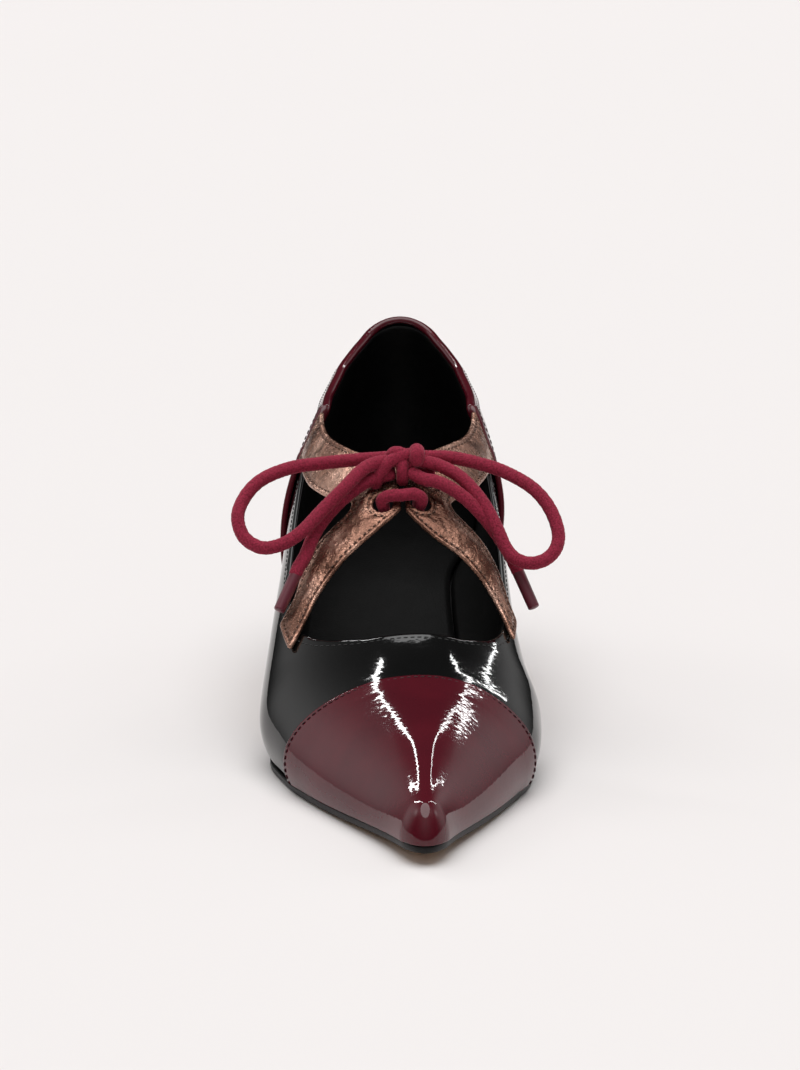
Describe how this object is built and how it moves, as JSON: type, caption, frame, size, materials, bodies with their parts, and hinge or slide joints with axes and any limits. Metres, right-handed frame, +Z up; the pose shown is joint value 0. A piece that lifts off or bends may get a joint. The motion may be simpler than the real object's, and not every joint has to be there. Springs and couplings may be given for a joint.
{
  "type": "court shoe",
  "caption": "Right-foot pointed court shoe with a block heel, a stitched toe cap, crossed instep straps and a laced bow.",
  "frame": {"origin": "on the floor, in the middle of the heel's top piece", "axes": "+Z up, the toe points along -Y, and +X is the big-toe side of the right foot"},
  "size_m": [0.0969, 0.2525, 0.1017],
  "materials": {
    "patent_black": "patent, mirror gloss",
    "patent_burgundy": "patent, mirror gloss",
    "metallic_bronze": "metallic foil, finely crackled",
    "insole_black": "matt lining leather",
    "sole_black": "smooth painted edge",
    "heel_cover": "patent covered",
    "top_piece_rubber": "matt",
    "lace_cotton": "round braid",
    "aglet_plastic": "glossy"
  },
  "bodies": {
    "root": {"upper": "patent_black", "toe_cap": "patent_burgundy", "counter": "patent_burgundy", "strap_lateral": "metallic_bronze", "strap_medial": "metallic_bronze", "insole": "insole_black", "outsole": "sole_black", "heel": "heel_cover", "top_piece": "top_piece_rubber", "lace": "lace_cotton", "bow_knot": "lace_cotton", "bow_loop_lateral": "lace_cotton", "bow_loop_medial": "lace_cotton", "lace_end_lateral": "lace_cotton", "lace_end_medial": "lace_cotton", "aglet_lateral": "aglet_plastic", "aglet_medial": "aglet_plastic"}
  },
  "joints": []
}
